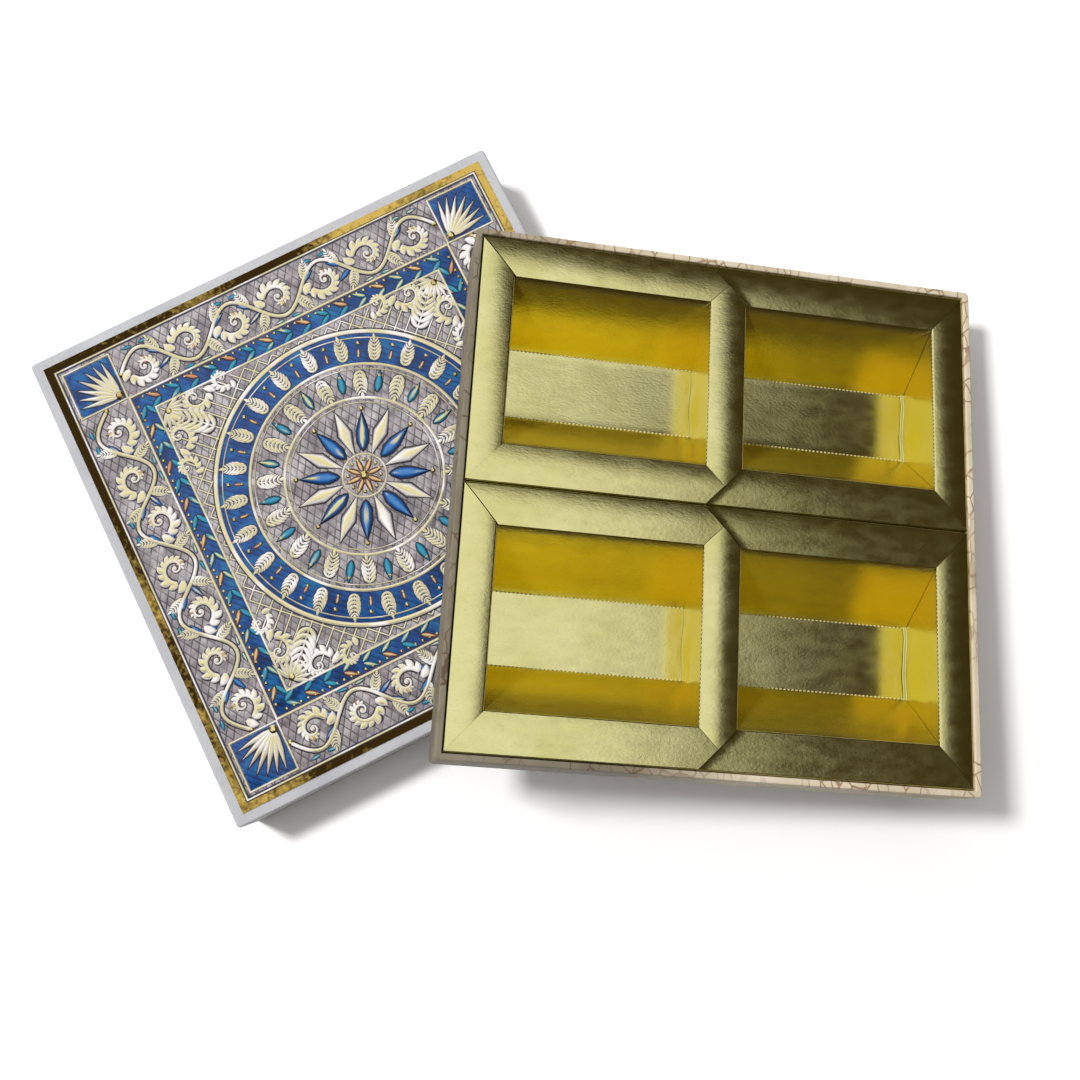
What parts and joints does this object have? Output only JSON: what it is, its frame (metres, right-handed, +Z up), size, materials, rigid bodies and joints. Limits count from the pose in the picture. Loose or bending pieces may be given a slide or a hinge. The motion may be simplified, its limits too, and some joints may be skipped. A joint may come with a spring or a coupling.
{
  "type": "rigid gift box",
  "caption": "Square rigid gift box for dried fruit: printed lift-off lid lying face up, and an open tray leaning on it with folded gold card inserts that form wells.",
  "frame": {"origin": "centre of the bounding box's base, on the table", "axes": "+Z up; +X along the tray's longer sides in plan, to the right as pictured; +Y away from the viewer. The lid is turned 30.4 degrees about +Z and the tray leans 11.7 degrees on its edge."},
  "size_m": [0.3792, 0.2802, 0.0835],
  "materials": {
    "white_paper": "satin coated paper, cool white",
    "veined_paper": "matt beige paper with thin brown veins",
    "greyboard": "rough grey recycled board",
    "gummed_tape": "matt kraft paper tape",
    "gold_card": "satin gold metallised film on card",
    "printed_foil": "embossed print on gold metallised paper"
  },
  "bodies": {
    "lid": {"lid_board": "greyboard", "lid_stay_1": "gummed_tape", "lid_stay_2": "gummed_tape", "lid_stay_3": "gummed_tape", "lid_stay_4": "gummed_tape", "lid_wrap": "white_paper", "lid_liner": "white_paper", "lid_label": "printed_foil"},
    "tray": {"tray_board": "greyboard", "tray_stay_1": "gummed_tape", "tray_stay_2": "gummed_tape", "tray_stay_3": "gummed_tape", "tray_stay_4": "gummed_tape", "tray_wrap": "veined_paper", "tray_liner": "white_paper"},
    "insert_back": {"insert_back_trough": "gold_card", "insert_back_end_left": "gold_card", "insert_back_end_right": "gold_card", "insert_back_divider": "gold_card"},
    "insert_front": {"insert_front_trough": "gold_card", "insert_front_end_left": "gold_card", "insert_front_end_right": "gold_card", "insert_front_divider": "gold_card"}
  },
  "joints": [
    {"name": "tray_lift", "type": "slide", "parent": "lid", "child": "tray", "axis": [0, 0, 1], "range_m": [0, 0.08]},
    {"name": "insert_back_lift", "type": "slide", "parent": "tray", "child": "insert_back", "axis": [0.1753, 0.1028, 0.9791], "range_m": [0, 0.045]},
    {"name": "insert_front_lift", "type": "slide", "parent": "tray", "child": "insert_front", "axis": [0.1753, 0.1028, 0.9791], "range_m": [0, 0.045]}
  ]
}
